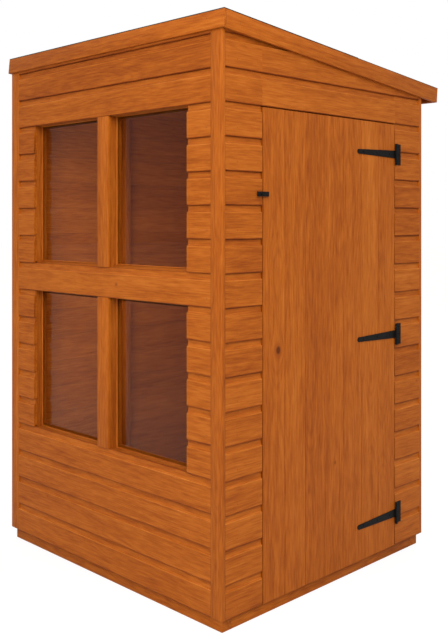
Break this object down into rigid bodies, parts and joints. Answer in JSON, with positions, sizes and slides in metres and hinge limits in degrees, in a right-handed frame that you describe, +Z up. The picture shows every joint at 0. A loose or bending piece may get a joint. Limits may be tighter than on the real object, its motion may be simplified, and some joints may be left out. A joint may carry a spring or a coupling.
{
  "type": "pent-roofed timber summerhouse",
  "caption": "Small timber summerhouse with a single-slope roof, a high glazed front wall, shiplap walls and a ledged door with strap hinges in one end.",
  "frame": {"origin": "on the ground, in the middle of the walls, at the foot of the middle floor bearer", "axes": "+Z up; the windows face -Y, the door faces +X and the roof falls towards +Y"},
  "size_m": [1.324, 1.3103, 2.0745],
  "materials": {
    "cladding": "orange-brown stained shiplap boards",
    "trim": "orange-brown stained planed boards",
    "framing": "stained sawn framing",
    "flooring": "stained floor boards and bearers",
    "door_timber": "orange-brown stained upright boards",
    "glazing": "clear window glass",
    "hardware": "black painted steel",
    "roofing_felt": "mineral roofing felt"
  },
  "bodies": {
    "shed": {"floor_bearers_long": "flooring", "floor_bearers_cross": "flooring", "floor_boards": "flooring", "front_studs": "framing", "front_rails": "framing", "window_rails": "framing", "front_cladding_bottom": "cladding", "front_cladding_sides": "cladding", "front_cladding_middle": "cladding", "front_cladding_top": "cladding", "mullion_covers": "trim", "window_sills": "trim", "glass_upper": "glazing", "glass_lower": "glazing", "glazing_beads": "trim", "corner_strips": "trim", "left_cladding": "cladding", "left_studs": "framing", "left_rails": "framing", "rear_cladding": "cladding", "rear_studs": "framing", "rear_rails": "framing", "right_cladding_front": "cladding", "right_cladding_rear": "cladding", "right_cladding_over_door": "cladding", "right_studs": "framing", "right_rails": "framing", "roof_deck": "framing", "roof_joists": "framing", "roof_felt": "roofing_felt", "fascia_front": "trim", "fascia_rear": "trim", "bargeboard_left": "trim", "bargeboard_right": "trim", "hinge_plate_bottom": "hardware", "hinge_plate_middle": "hardware", "hinge_plate_top": "hardware", "turn_button_screw": "hardware"},
    "door": {"door_boards": "door_timber", "door_ledges": "door_timber", "door_braces": "door_timber", "hinge_strap_bottom": "hardware", "hinge_strap_middle": "hardware", "hinge_strap_top": "hardware"},
    "turn_button": {"turn_button": "hardware"}
  },
  "joints": [
    {"name": "door_hinge", "type": "hinge", "parent": "shed", "child": "door", "pos_m": [0.656, 0.399, 0.908], "axis": [0, 0, 1], "range_deg": [0, 170]},
    {"name": "turn_button_screw_joint", "type": "hinge", "parent": "shed", "child": "turn_button", "pos_m": [0.6554, -0.412, 1.464], "axis": [1, 0, 0], "range_deg": [0, 90]}
  ]
}
